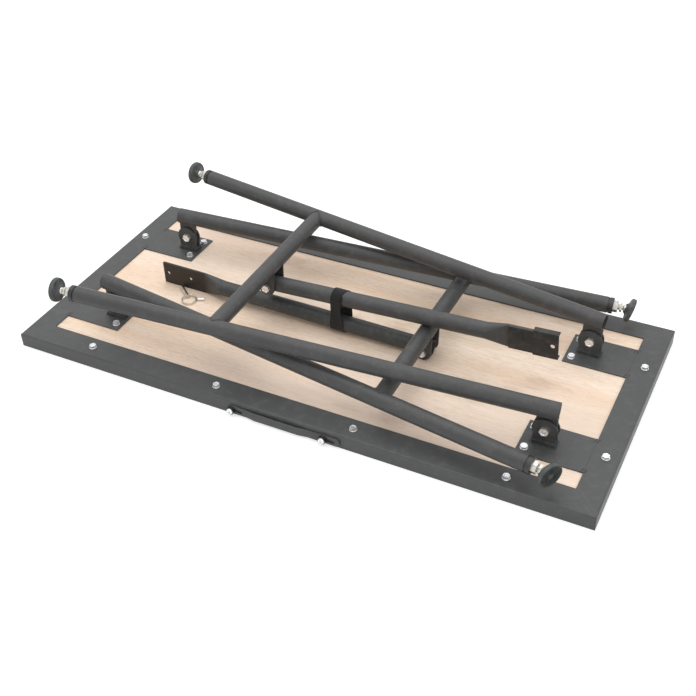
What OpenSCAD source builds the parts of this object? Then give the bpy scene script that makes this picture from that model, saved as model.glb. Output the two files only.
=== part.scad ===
// Folding workbench, lying upside down on its working face with both leg frames folded.
// X runs along the bench, Y across it, Z up. z = 0 is the working face of the top.

/* [Worktop] */
// Length of the top over its steel rim
bench_len = 1000; // [960:5:1040]
// Width of the top over its steel rim
bench_w = 458; // [440:2:500]
// Height of the rim, from the working face to the flange
rim_h = 25; // [24:0.5:26]
// Width of the rim's flange
rim_flange = 42; // [40:1:44]
// Thickness of the rim and of the hinge plates
steel = 2.5; // [2:0.1:3]
// Outer bend radius of the rim's angle section
bend_r = 3; // [1:0.5:4]
// Gap between the board's edge and the rim
board_fit = 0.25; // [0.1:0.05:0.5]

/* [Rim bolts] */
// Distance of the rim bolts from the rim's outer face
bolt_inset = 21; // [18:1:24]
// Distance of the last bolt on a long rim from the bench's end
long_bolt_end = 137.5; // [125:0.5:150]
// Distance of each bolt on a short rim from the bench's side
short_bolt_end = 118; // [109:1:129]
// Radius of the shank of the small bolts
bolt_r = 3; // [2.5:0.25:3.5]
// Width across flats of the small bolts' heads
bolt_flats = 10; // [9:0.5:11]
// Height of the small bolts' heads
bolt_head_h = 4; // [3:0.5:5]
// Radius of the washer under a small bolt's head
washer_r = 6.2; // [5.8:0.1:6.6]
// Thickness of that washer
washer_h = 0.8; // [0.5:0.1:1.2]
// Depth of the small bolts in the board
bolt_depth = 16; // [10:1:18]
// Radial clearance of every shank in its hole
hole_fit = 0.05; // [0.02:0.01:0.08]

/* [Hinge plates] */
// Length of a hinge plate, from the short rim inwards
plate_len = 104; // [100:1:108]
// Width of a hinge plate
plate_w = 75; // [70:1:80]
// Distance of a hinge plate's middle from the bench's side
plate_in = 114; // [111:1:117]
// Distance of the plate screws from the plate's inner edge
screw_inset = 11; // [9:1:12]
// Distance of the plate screws from the plate's own middle line
screw_y = 24; // [22:1:26]

/* [Leg hinges] */
// Distance of each hinge axis from the bench's end, without the shift
hinge_from_end = 117; // [115:0.5:119]
// Shift of that midway point towards the right end
hinge_shift = 5; // [3:0.5:7]
// Height of the hinge axes
hinge_z = 52; // [51.8:0.1:52.5]
// Distance of the leg tubes from the bench's side, at their hinges
hinge_in = 112; // [110:0.5:114]
// Distance of the clevises' middle from the bench's side
clevis_in = 114.5; // [113:0.5:116]
// Radius of the round ears of a clevis
ear_r = 20; // [19:0.5:21]
// Half length of a clevis's base, on which the ears stand
clevis_foot = 17.5; // [17:0.5:18.5]
// Thickness of the ears
ear_t = 3; // [2.5:0.1:3.2]
// Gap between the two ears
ear_gap = 6.6; // [6.4:0.1:7]
// Thickness of a clevis's base
clevis_base_t = 6.5; // [5.5:0.1:7]
// Width of a clevis's base across the bench
clevis_base_w = 18.5; // [17:0.5:20]
// Radius of the hinge bolts and strut bolts
pivot_r = 4; // [3.5:0.25:4.5]
// Width across flats of the hinge and strut bolts' heads and nuts
pivot_flats = 13; // [12:0.5:14]
// Height of those bolts' heads
pivot_head_h = 5.3; // [5:0.1:6]
// Height of their nuts
pivot_nut_h = 6.5; // [5:0.1:7]
// Length of bolt that shows past a nut
pivot_tail = 2; // [1:0.5:3]
// Half length of a leg's lug, and the radius of its round end
lug_r = 16; // [15:0.5:16.5]
// Gap between a lug and each ear
lug_fit = 0.3; // [0.2:0.05:0.5]
// Height of a lug above the hinge axis, where the leg tube sits in it
lug_top = 30; // [29:0.5:31]

/* [Leg frames] */
// Outer diameter of every tube
tube_d = 27; // [26.5:0.1:27.2]
// Wall of every tube
tube_wall = 2; // [1.5:0.1:2.5]
// How much shorter a leg tube is than the bench
leg_short = 214; // [210:1:225]
// Length of leg tube behind the hinge axis
leg_over = 16; // [14:0.5:16.5]
// Distance of a leg tube's axis from its hinge axis
leg_offset = 39.5; // [39:0.1:40]
// Angle by which each leg tube spreads outwards
splay = 6.5; // [6.3:0.1:6.7]
// Angle of the folded right frame, which rises towards its feet
fold_angle_right = 2.7; // [2.6:0.05:2.8]
// Angle of the folded left frame, which falls towards its feet
fold_angle_left = -2.3; // [-2.4:0.05:-2.2]
// Distance of a cross tube from the foot end of its leg tubes
cross_from_foot = 244; // [240:1:250]

/* [Struts] */
// Distance of the struts from the bench's middle line
strut_y = 6; // [4:0.5:8]
// Distance of a strut's pivot below its cross tube
bracket_drop = 32.5; // [32.3:0.1:32.6]
// Radius of a strut bracket's round end, and half its width
bracket_r = 15; // [14.8:0.1:15.1]
// Thickness of a strut bracket's two ears
bracket_t = 3; // [2.5:0.1:3.5]
// Gap between a strut and each bracket ear
bracket_fit = 0.5; // [0.3:0.1:0.8]
// Length of strut tube behind its pivot
strut_tail = 11; // [9:0.5:12]
// Length along which a strut's tube flattens
taper_len = 35; // [30:1:40]
// Height of a flattened strut end
flat_h = 41; // [40:0.5:41.5]
// Thickness of a flattened strut end
flat_t = 4; // [3.5:0.1:4.2]
// How much longer the left strut is than the distance from hinge to middle
left_past = 125; // [122:0.5:129]
// How much longer the right strut's tube is than that distance
right_past = 79; // [75:1:83]
// Length of the left strut's flat end
left_flat = 86; // [80:1:90]
// Length of the right strut's flat end
right_flat = 40; // [36:1:44]
// Distance of the locking hole from the left strut's end
pin_hole_in = 9; // [8:0.5:11]
// Distance between the left strut's two locking holes
pin_hole_pitch = 46.5; // [44:0.5:49]
// Radius of the locking holes
pin_hole_r = 3.75; // [3.6:0.05:4]
// Gap left where a folded piece rests on another
rest_gap = 0.3; // [0.2:0.05:0.5]

/* [Strut channel] */
// Length of the channel plate on the right strut's flat end
channel_on = 39; // [36:0.5:39]
// Length of the channel past that flat end
channel_past = 40; // [36:1:44]
// Thickness of the channel plate
channel_t = 2.5; // [2:0.1:3]
// Thickness of the channel's two folded lips
lip_t = 2; // [1.6:0.1:2.4]
// Depth of the lips behind the plate
lip_depth = 8; // [6:0.5:10]
// Clearance of the left strut's flat end between the lips, each side
channel_fit = 0.5; // [0.3:0.1:0.8]
// Radius of the plate's rivet head
rivet_r = 3; // [2.5:0.1:3.5]
// Distance of the rivet from the start of the plate
rivet_in = 24; // [20:1:30]

/* [Feet] */
// Length of an end cap's collar past its tube
cap_len = 10; // [8:0.5:12]
// Length of an end cap's plug inside its tube
plug_len = 18; // [14:1:24]
// Width of the groove in the collar
groove_w = 1.6; // [1.2:0.1:2]
// Depth of the groove in the collar
groove_d = 1.2; // [0.8:0.1:1.5]
// Radius of a foot's threaded stem
stem_r = 5; // [4.5:0.1:5.2]
// Length of stem inside the leg, behind the cap's outer face
stem_in = 42; // [38:1:50]
// Width across flats of a jam nut
jam_flats = 17; // [16:0.5:18]
// Thickness of a jam nut
jam_h = 7.5; // [7:0.5:8]
// Distance of the stem's spanner hex from the cap's outer face
hex_from = 10.5; // [10:0.1:11]
// Length of the spanner hex
hex_len = 3.7; // [3:0.1:3.9]
// Width across flats of the spanner hex
hex_flats = 13; // [12:0.5:14]
// Radius of the stem's neck behind its ball
neck_r = 3.5; // [3.2:0.1:3.6]
// Radius of the stem's ball
ball_r = 6.5; // [6.3:0.1:6.6]
// Clearance round the ball in its pad
ball_fit = 0.3; // [0.2:0.05:0.35]
// Distance of the ball's centre from the cap's outer face
ball_at = 21; // [21:0.1:22]
// Height of a pad's hub above the ball's centre
hub_h = 2.5; // [2.4:0.1:2.7]
// Radius of a pad's hub
hub_r = 8; // [7.5:0.1:8.2]
// Radius of a pad
pad_r = 20; // [19:0.5:21]
// Distance of a pad's tread from the ball's centre
pad_face = 11; // [10:0.5:12]
// Height of a pad's straight rim
pad_rim_h = 6; // [5:0.5:7]
// Radius of a pad's shoulder, where the bell meets the rim
pad_shoulder_r = 18.2; // [17:0.2:19]
// Tilt at rest of the two right pads
tilt_angle_right = 5; // [0:1:10]
// Tilt at rest of the left far pad
tilt_angle_left = 15; // [5:1:15]
// Tilt at rest of the left near pad
tilt_angle_near = 28; // [20:1:28]

/* [Carry handle] */
// Distance of each handle bolt from the middle
handle_bolt_x = 80.5; // [78:0.5:83]
// Height of the handle bolts
handle_z = 10; // [9.5:0.1:10.5]
// Length by which the handle slides on its bolts
handle_play = 16.5; // [14:0.5:18]
// Length of strap past each bolt's rest place, at the slot's closed end
handle_end = 12; // [10:0.5:14]
// Length of strap behind the left bolt
handle_back = 5.5; // [5.4:0.1:6]
// Height of the handle's two end tabs
tab_h = 15; // [14:0.5:16]
// Height of the grip between the tabs
grip_h = 11; // [10:0.5:12]
// Thickness of the handle strap
strap_t = 2.5; // [2:0.1:3]
// Distance by which the grip stands off the tabs
grip_off = 5; // [4.5:0.1:6]
// Length along which the strap bends out to the grip
grip_ramp = 16; // [12:1:20]
// Distance of the tabs' inner ends from the bolts
tab_in = 26; // [24:1:30]
// Width of the handle's slots
slot_w = 6.6; // [6.4:0.1:7]
// Radius of the bushes under the handle bolts' heads
bush_r = 6.6; // [6:0.1:7]
// Length of those bushes
bush_len = 4.5; // [4:0.5:6]
// Radius of the handle bolts' round heads
button_r = 5.2; // [5:0.1:5.6]
// Height of those heads
button_h = 3; // [2.5:0.1:3.4]
// Running gap of the handle between the rim and its bushes
handle_fit = 0.2; // [0.1:0.05:0.3]

/* [Webbing strap] */
// Place of the strap's middle along the bench
strap_x = -7; // [-9:0.5:-5]
// Width of the webbing
strap_w = 25; // [24:0.5:26]
// Thickness of the webbing
strap_thick = 1.8; // [1.6:0.1:2]
// Gap between the webbing and the two struts
strap_gap = 0.8; // [0.7:0.05:0.9]

/* [Lock pin] */
// Distance of the pin's ring hole from the left strut's end, along the bench
pin_in = 61; // [58:0.5:64]
// Place of the pin's ring hole across the bench
pin_y = -20; // [-23:0.5:-20]
// Turn of the pin on the board
pin_turn = 141; // [138:1:144]
// Radius of the lock pin
pin_r = 3.5; // [3.3:0.1:3.6]
// Length of pin from the ring hole to the tip
pin_len = 31; // [28:1:34]
// Length of pin behind the ring hole
pin_back = 4; // [3.5:0.1:4.5]
// Length of the pin's chamfered tip
pin_tip = 1.2; // [0.8:0.1:1.5]
// Radius of the ring hole
ring_hole_r = 2.1; // [2:0.05:2.3]
// Radius of the pull ring, to the middle of its wire
ring_r = 12.5; // [12:0.1:13]
// Radius of the ring's wire
wire_r = 1.2; // [1:0.05:1.3]
// Fall of the ring from the pin down to the board
ring_fall = 2; // [1:0.1:2.2]
// Direction of the ring's ferrule, turned from the pin's line
ferrule_turn = 65; // [55:1:75]
// Radius of the ferrule
ferrule_r = 2.6; // [2.2:0.1:3]
// Length of the ferrule
ferrule_len = 10; // [8:0.5:12]
// Length of wire between the ring and its ferrule
ferrule_gap = 4; // [3:0.5:5]
// Thickness of the crimped wire's tail
tail_r = 0.8; // [0.6:0.1:1]

/* [Hidden] */

right = 1;
left = -1;
near = -1;
far = 1;
// Overshoot of every cutting shape past the face it cuts
cut = 1;
// Facets of round shapes, and of the two sections of a strut's taper
$fn = 96;
taper_fn = 32;
half_turn = 180;
// Step from a strut's round tube up to the start of its taper
taper_seam = 0.05;
// Steps of a half turn from which a pad's bell curve takes the first half
bell_steps = 16;

powder = [0.20, 0.21, 0.22];
black_steel = [0.12, 0.12, 0.12];
zinc = [0.80, 0.81, 0.82];
plastic = [0.10, 0.10, 0.10];
wood = [0.89, 0.80, 0.70];
webbing = [0.08, 0.08, 0.08];

tube_r = tube_d / 2;
tube_bore = tube_r - tube_wall;
board_h = rim_h - steel;
long_outer = bench_len / 2 - long_bolt_end;
long_stations = [-long_outer, -long_outer / 3, long_outer / 3, long_outer];
short_outer = bench_w / 2 - short_bolt_end;
short_stations = [-short_outer, short_outer];
plate_y = bench_w / 2 - plate_in;
hinge_x = bench_len / 2 - hinge_from_end;
hinge_y = bench_w / 2 - hinge_in;
clevis_y = bench_w / 2 - clevis_in;
plate_x = bench_len / 2 - rim_flange - plate_len / 2;
ear_side = ear_gap / 2 + ear_t;
lug_side = ear_gap / 2 - lug_fit;
bracket_gap = tube_d + 2 * bracket_fit;
bracket_side = bracket_gap / 2 + bracket_t;
leg_len = bench_len - leg_short;
leg_end = leg_len - leg_over;
cross_at = leg_end - cross_from_foot;
left_reach = hinge_x + left_past;
right_reach = hinge_x + right_past;
channel_from = right_reach - channel_on;
channel_to = right_reach + channel_past;

function fold(side) = side > 0 ? fold_angle_right : fold_angle_left;
// Point of a leg frame in the bench's frame, from its place along and above the leg
function leg_point(side, along, above) = [
    side * (hinge_x - along * cos(fold(side)) + above * sin(fold(side))) + hinge_shift,
    strut_y,
    hinge_z + along * sin(fold(side)) + above * cos(fold(side))];
function pivot(side) = leg_point(side, cross_at, leg_offset - bracket_drop);

// The right strut rests on the left cross tube, and the left strut's flat part on the board
resting_on = leg_point(left, cross_at, leg_offset) - pivot(right);
strut_tilt_right = atan2(resting_on[2], resting_on[0])
    + asin((tube_d + rest_gap) / norm(resting_on));
strut_tilt_left = asin((board_h + rest_gap + flat_h / 2 - pivot(left)[2]) / (left_reach - left_flat));
pin_x = pivot(left)[0] - left_reach + pin_in;
pin_hole_left = left_reach - pin_hole_in;
pin_hole_right = channel_to - pin_hole_in;
lip_side = flat_h / 2 + channel_fit;

// Places its children, drawn along a leg from the hinge axis, on a folded frame
module on_leg(side) {
    translate([side * hinge_x + hinge_shift, 0, hinge_z])
        if (side > 0)
            mirror([1, 0, 0]) rotate([0, -fold(side), 0]) children();
        else
            rotate([0, -fold(side), 0]) children();
}

// Places its children, drawn along +X from a tube's hinge end, on one leg tube
module on_tube(side, row) {
    on_leg(side)
        translate([0, row * hinge_y, leg_offset])
            rotate([0, 0, row * splay])
                translate([-leg_over, 0, 0]) children();
}

// Places its children, drawn along +X from a strut's pivot, on a folded strut
module on_strut(side) {
    tilt = side > 0 ? -strut_tilt_right : strut_tilt_left;
    translate(pivot(side)) rotate([0, tilt, 0])
        if (side > 0) children();
        else mirror([1, 0, 0]) children();
}

module rod_x(r, from, to) {
    translate([from, 0, 0]) rotate([0, 90, 0]) cylinder(h = to - from, r = r);
}

module rod_y(r, from, to) {
    translate([0, from, 0]) rotate([-90, 0, 0]) cylinder(h = to - from, r = r);
}

module hex(flats, h) {
    cylinder(h = h, r = flats / sqrt(3), $fn = 6);
}

// Section of the rim: an angle with a bent outer corner
module angle_section() {
    difference() {
        union() {
            square([rim_flange, rim_h - bend_r]);
            translate([bend_r, 0]) square([rim_flange - bend_r, rim_h]);
            translate([bend_r, rim_h - bend_r]) circle(r = bend_r);
        }
        translate([steel, -cut]) square([rim_flange, board_h + cut]);
    }
}

// One rim, mitred at both ends, with its outer face on y = 0
module rim(length, stations) {
    end = length / 2;
    difference() {
        intersection() {
            rotate([90, 0, 90])
                linear_extrude(height = length, center = true) angle_section();
            linear_extrude(height = rim_h)
                polygon([[-end, 0], [end, 0], [end - rim_flange, rim_flange],
                    [rim_flange - end, rim_flange]]);
        }
        for (x = stations)
            translate([x, bolt_inset, board_h - cut])
                cylinder(h = steel + 2 * cut, r = bolt_r + hole_fit);
    }
}

// Where the rim bolts stand
module at_rim_bolts() {
    for (x = long_stations, row = [near, far])
        translate([x, row * (bench_w / 2 - bolt_inset), 0]) children();
    for (y = short_stations, side = [left, right])
        translate([side * (bench_len / 2 - bolt_inset), y, 0]) children();
}

// Where the plate screws stand
module at_plate_screws() {
    for (side = [left, right], row = [near, far], edge = [-1, 1])
        translate([side * (plate_x - plate_len / 2 + screw_inset),
            row * plate_y + edge * screw_y, 0]) children();
}

// Where the two handle bolts stand, with +Z pointing out of the rim
module at_handle_bolts() {
    for (side = [left, right])
        translate([side * handle_bolt_x, -bench_w / 2, handle_z]) rotate([90, 0, 0]) children();
}

module small_bolt() {
    translate([0, 0, rim_h]) {
        translate([0, 0, -bolt_depth]) cylinder(h = bolt_depth + washer_h, r = bolt_r);
        cylinder(h = washer_h, r = washer_r);
        translate([0, 0, washer_h]) hex(bolt_flats, bolt_head_h);
    }
}

module rim_near() {
    color(powder) difference() {
        translate([0, -bench_w / 2, 0]) rim(bench_len, long_stations);
        at_handle_bolts() translate([0, 0, -steel - cut])
            cylinder(h = steel + 2 * cut, r = bolt_r + hole_fit);
    }
}

module rim_far() {
    color(powder) translate([0, bench_w / 2, 0]) rotate([0, 0, 180]) rim(bench_len, long_stations);
}

module rim_left() {
    color(powder) translate([-bench_len / 2, 0, 0]) rotate([0, 0, -90]) rim(bench_w, short_stations);
}

module rim_right() {
    color(powder) translate([bench_len / 2, 0, 0]) rotate([0, 0, 90]) rim(bench_w, short_stations);
}

module worktop_board() {
    edge = steel + board_fit;
    color(wood) difference() {
        translate([edge - bench_len / 2, edge - bench_w / 2, 0])
            cube([bench_len - 2 * edge, bench_w - 2 * edge, board_h]);
        at_rim_bolts() translate([0, 0, rim_h - bolt_depth])
            cylinder(h = bolt_depth, r = bolt_r + hole_fit);
        at_plate_screws() translate([0, 0, rim_h - bolt_depth])
            cylinder(h = bolt_depth, r = bolt_r + hole_fit);
        at_handle_bolts() translate([0, 0, -bolt_depth])
            cylinder(h = bolt_depth, r = bolt_r + hole_fit);
    }
}

module rim_bolts() {
    color(zinc) at_rim_bolts() small_bolt();
}

module plate_screws() {
    color(zinc) at_plate_screws() small_bolt();
}

module hinge_plate(side, row) {
    color(powder) difference() {
        translate([side * plate_x - plate_len / 2, row * plate_y - plate_w / 2, board_h])
            cube([plate_len, plate_w, steel]);
        at_plate_screws() translate([0, 0, board_h - cut])
            cylinder(h = steel + 2 * cut, r = bolt_r + hole_fit);
    }
}

// One ear of a clevis in the XZ plane, with the hinge axis at the origin
module clevis_ear() {
    foot = hinge_z - rim_h;
    difference() {
        union() {
            circle(r = ear_r);
            translate([-clevis_foot, -foot]) square([2 * clevis_foot, foot]);
        }
        circle(r = pivot_r + hole_fit);
    }
}

// A base with two round-topped ears, welded on a hinge plate
module clevis(side, row) {
    color(black_steel) translate([side * hinge_x + hinge_shift, row * clevis_y, 0]) {
        translate([-clevis_foot, -clevis_base_w / 2, rim_h])
            cube([2 * clevis_foot, clevis_base_w, clevis_base_t]);
        for (face = [-ear_gap / 2, ear_side])
            translate([0, face, hinge_z]) rotate([90, 0, 0])
                linear_extrude(height = ear_t) clevis_ear();
    }
}

// A hex bolt along +Y through a joint whose outer faces are at y = -grip and y = grip
module pivot_bolt(grip) {
    rod_y(pivot_r, -grip, grip + pivot_nut_h + pivot_tail);
    translate([0, -grip, 0]) rotate([90, 0, 0]) hex(pivot_flats, pivot_head_h);
}

module pivot_nut(grip) {
    difference() {
        translate([0, grip, 0]) rotate([-90, 0, 0]) hex(pivot_flats, pivot_nut_h);
        rod_y(pivot_r + hole_fit, grip - cut, grip + pivot_nut_h + cut);
    }
}

module at_hinges() {
    for (side = [left, right], row = [near, far])
        translate([side * hinge_x + hinge_shift, row * clevis_y, hinge_z]) children();
}

module hinge_bolts() {
    color(zinc) at_hinges() pivot_bolt(ear_side);
}

module hinge_nuts() {
    color(zinc) at_hinges() pivot_nut(ear_side);
}

module leg_tube(side, row) {
    color(powder) on_tube(side, row) difference() {
        rod_x(tube_r, 0, leg_len);
        rod_x(tube_bore, -cut, leg_len + cut);
    }
}

// The cross tube, with its ends shaped to the leg tubes
module cross_tube(side) {
    reach = hinge_y + cross_at * tan(splay);
    color(powder) difference() {
        on_leg(side) translate([cross_at, 0, leg_offset]) difference() {
            rod_y(tube_r, -reach, reach);
            rod_y(tube_bore, -reach - cut, reach + cut);
        }
        for (row = [near, far])
            on_tube(side, row) rod_x(tube_r, 0, leg_len);
    }
}

// A lug in the XZ plane, with the hinge axis at the origin
module lug_outline() {
    circle(r = lug_r);
    translate([-lug_r, 0]) square([2 * lug_r, lug_top]);
}

// A thick plate welded under a leg tube, with its round end on the hinge bolt
module hinge_lug(side, row) {
    color(black_steel) difference() {
        on_leg(side) translate([0, row * clevis_y, 0]) difference() {
            translate([0, lug_side, 0]) rotate([90, 0, 0])
                linear_extrude(height = 2 * lug_side) lug_outline();
            rod_y(pivot_r + hole_fit, -lug_side - cut, lug_side + cut);
        }
        on_tube(side, row) rod_x(tube_r, -cut, leg_len);
    }
}

// One ear of a strut bracket in the XZ plane, with the strut's pivot at the origin
module bracket_ear() {
    difference() {
        union() {
            circle(r = bracket_r);
            translate([-bracket_r, 0]) square([2 * bracket_r, bracket_drop]);
        }
        translate([0, bracket_drop]) circle(r = tube_r);
        circle(r = pivot_r + hole_fit);
    }
}

// Two ears welded to a cross tube, one on each side of the strut
module strut_bracket(side) {
    color(black_steel) on_leg(side)
        translate([cross_at, strut_y, leg_offset - bracket_drop])
            for (face = [-bracket_gap / 2, bracket_side])
                translate([0, face, 0]) rotate([90, 0, 0])
                    linear_extrude(height = bracket_t) bracket_ear();
}

module strut_bolt(side) {
    color(zinc) translate(pivot(side)) {
        pivot_bolt(bracket_side);
        pivot_nut(bracket_side);
    }
}

// A strut tube pressed flat at its far end; the flat part is two walls thick
module flattened_tube(reach, flat) {
    taper_to = reach - flat;
    taper_from = taper_to - taper_len;
    difference() {
        union() {
            rod_x(tube_r, -strut_tail, taper_from);
            hull() {
                translate([taper_from - cut, 0, 0]) rotate([0, 90, 0])
                    cylinder(h = cut, r = tube_r / cos(half_turn / taper_fn) + taper_seam, $fn = taper_fn);
                translate([taper_to - cut, -flat_t / 2, -flat_h / 2]) cube([cut, flat_t, flat_h]);
            }
            translate([taper_to, -flat_t / 2, -flat_h / 2]) cube([flat, flat_t, flat_h]);
        }
        rod_x(tube_bore, -strut_tail - cut, taper_from - 2 * cut);
        rod_y(pivot_r + hole_fit, -tube_d, tube_d);
    }
}

module strut_left() {
    color(powder) on_strut(left) difference() {
        flattened_tube(left_reach, left_flat);
        for (x = [pin_hole_left, pin_hole_left - pin_hole_pitch])
            translate([x, 0, 0]) rod_y(pin_hole_r, -flat_t, flat_t);
    }
}

module strut_right() {
    color(powder) on_strut(right) flattened_tube(right_reach, right_flat);
}

// Plate welded on the right strut's flat end; its two lips take the left strut's end
module strut_channel() {
    face = -flat_t / 2 - channel_t;
    color(black_steel) on_strut(right) difference() {
        union() {
            translate([channel_from, face, -flat_h / 2])
                cube([channel_to - channel_from, channel_t, flat_h]);
            translate([right_reach, face, -lip_side - lip_t])
                cube([channel_to - right_reach, channel_t, 2 * (lip_side + lip_t)]);
            for (z = [-lip_side - lip_t, lip_side])
                translate([right_reach, face, z])
                    cube([channel_to - right_reach, channel_t + lip_depth, lip_t]);
            translate([channel_from + rivet_in, 0, 0]) rod_y(rivet_r, face - cut, face);
        }
        translate([pin_hole_right, 0, 0]) rod_y(pin_hole_r, face - cut, 0);
    }
}

// Section of the webbing loop round both struts, in the YZ plane
module strap_section(extra) {
    low = strut_z(left);
    high = strut_z(right);
    r = tube_r + strap_gap + extra;
    translate([strut_y, low]) circle(r = r);
    translate([strut_y, high]) circle(r = r);
    translate([strut_y - r, low]) square([2 * r, high - low]);
}

// Height of a strut's axis at the strap
function strut_z(side) = pivot(side)[2]
    + side * (strap_x - pivot(side)[0]) * tan(side > 0 ? strut_tilt_right : strut_tilt_left);

module webbing_strap() {
    color(webbing) translate([strap_x - strap_w / 2, 0, 0]) rotate([90, 0, 90])
        linear_extrude(height = strap_w) difference() {
            strap_section(strap_thick);
            strap_section(0);
        }
}

// Round plug with a grooved collar, threaded for the foot's stem
module end_cap(side, row) {
    on_tube(side, row) translate([leg_len, 0, 0]) difference() {
        union() {
            rod_x(tube_r, 0, cap_len);
            rod_x(tube_bore - hole_fit, -plug_len, 0);
        }
        rod_x(stem_r + hole_fit, -plug_len - cut, cap_len + cut);
        difference() {
            rod_x(tube_r + cut, groove_w, 2 * groove_w);
            rod_x(tube_r - groove_d, 0, cap_len);
        }
    }
}

module end_caps(side) {
    color(plastic) {
        end_cap(side, near);
        end_cap(side, far);
    }
}

// Places its children, drawn along +X from a cap's outer face, at one foot
module on_foot(side, row) {
    on_tube(side, row) translate([leg_len + cap_len, 0, 0]) children();
}

module jam_nut(side, row) {
    color(zinc) on_foot(side, row) difference() {
        rotate([0, 90, 0]) hex(jam_flats, jam_h);
        rod_x(stem_r + hole_fit, -cut, jam_h + cut);
    }
}

// Threaded stem with a spanner hex, a neck and a ball
module foot_stem(side, row) {
    color(zinc) on_foot(side, row) {
        rod_x(stem_r, -stem_in, hex_from);
        translate([hex_from, 0, 0]) rotate([0, 90, 0]) hex(hex_flats, hex_len);
        rod_x(neck_r, hex_from, ball_at);
        translate([ball_at, 0, 0]) sphere(r = ball_r);
    }
}

// Bell-shaped pad as a turned section: radius along X, height along Y from the ball's centre
module pad_section() {
    bell = [for (turn = [0 : half_turn / bell_steps : half_turn / 2]) [
        hub_r + (pad_shoulder_r - hub_r) * (1 - cos(turn)),
        hub_h - (hub_h - pad_rim_h + pad_face) * sin(turn)]];
    difference() {
        polygon(concat([[0, hub_h]], bell,
            [[pad_r, pad_rim_h - pad_face], [pad_r, -pad_face], [0, -pad_face]]));
        circle(r = ball_r + ball_fit);
    }
}

// The left near pad leans to the bench's near side, and the others hang down
module foot_pad(side, row) {
    leaning = side < 0 && row == near;
    tilt = side > 0 ? tilt_angle_right : leaning ? tilt_angle_near : tilt_angle_left;
    color(plastic) on_foot(side, row) translate([ball_at, 0, 0])
        rotate([leaning ? half_turn / 2 : half_turn, 0, 0]) rotate([0, -tilt, 0]) rotate([0, -90, 0])
            rotate_extrude() intersection() {
                pad_section();
                translate([0, -pad_face]) square([pad_r, pad_face + hub_h]);
            }
}

// Outline of the handle seen from the near side: two round-ended tabs and a narrower grip
module handle_outline() {
    from = -handle_bolt_x - handle_back;
    to = handle_bolt_x + handle_play + handle_end;
    round_r = tab_h / 2;
    for (span = [[from, tab_in - handle_bolt_x], [handle_bolt_x - tab_in, to]]) {
        translate([span[0] + round_r, -round_r])
            square([span[1] - span[0] - 2 * round_r, tab_h]);
        translate([span[0] + round_r, 0]) circle(r = round_r);
        translate([span[1] - round_r, 0]) circle(r = round_r);
    }
    translate([-handle_bolt_x, -grip_h / 2]) square([2 * handle_bolt_x, grip_h]);
}

// Run of the handle seen from above: flat tabs and a grip that stands off
module handle_run() {
    end = bench_len / 4;
    ramp = handle_bolt_x - tab_in;
    polygon([[-end, 0], [-ramp, 0], [grip_ramp - ramp, -grip_off], [ramp - grip_ramp, -grip_off],
        [ramp, 0], [end, 0], [end, -strap_t], [ramp, -strap_t],
        [ramp - grip_ramp, -grip_off - strap_t], [grip_ramp - ramp, -grip_off - strap_t],
        [-ramp, -strap_t], [-end, -strap_t]]);
}

module carry_handle() {
    color(plastic) translate([0, -bench_w / 2 - handle_fit, handle_z]) difference() {
        intersection() {
            translate([0, 0, -tab_h / 2]) linear_extrude(height = tab_h) handle_run();
            rotate([90, 0, 0])
                linear_extrude(height = grip_off + 2 * strap_t) handle_outline();
        }
        for (side = [left, right], slot = [0, handle_play])
            translate([side * handle_bolt_x + slot, 0, 0])
                rod_y(slot_w / 2, -strap_t - cut, cut);
        for (side = [left, right])
            translate([side * handle_bolt_x, -strap_t - cut, -slot_w / 2])
                cube([handle_play, strap_t + 2 * cut, slot_w]);
    }
}

module handle_bushes() {
    color(plastic) at_handle_bolts() difference() {
        translate([0, 0, 2 * handle_fit + strap_t]) cylinder(h = bush_len, r = bush_r);
        cylinder(h = bench_w, r = bolt_r + hole_fit);
    }
}

module handle_bolts() {
    out = 2 * handle_fit + strap_t + bush_len;
    color(zinc) at_handle_bolts() {
        translate([0, 0, -bolt_depth]) cylinder(h = bolt_depth + out, r = bolt_r);
        translate([0, 0, out]) intersection() {
            cylinder(h = button_h, r = button_r);
            translate([0, 0, button_h - button_r * 2]) sphere(r = 2 * button_r);
        }
    }
}

// Places its children at the pin's ring hole, with +X towards the pin's tip
module on_pin() {
    translate([pin_x, pin_y, board_h + pin_r + rest_gap]) rotate([0, 0, pin_turn]) children();
}

module lock_pin() {
    color(zinc) on_pin() difference() {
        union() {
            rod_x(pin_r, -pin_back, pin_len - pin_tip);
            rod_x(pin_r - pin_tip, pin_len - 2 * pin_tip, pin_len);
        }
        rod_y(ring_hole_r, -2 * pin_r, 2 * pin_r);
    }
}

// Places its children at the ring's centre, in the ring's own plane
module on_ring() {
    on_pin() rotate([0, -ring_fall, 0]) translate([-ring_r, 0, 0]) children();
}

module pull_ring() {
    color(zinc) on_ring() {
        rotate_extrude() translate([ring_r, 0]) circle(r = wire_r);
        rotate([0, 0, ferrule_turn + 180]) rod_x(tail_r, ring_r, ring_r + ferrule_gap);
    }
}

module ring_ferrule() {
    color(zinc) on_ring() rotate([0, 0, ferrule_turn + 180])
        rod_x(ferrule_r, ring_r + ferrule_gap, ring_r + ferrule_gap + ferrule_len);
}

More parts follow.
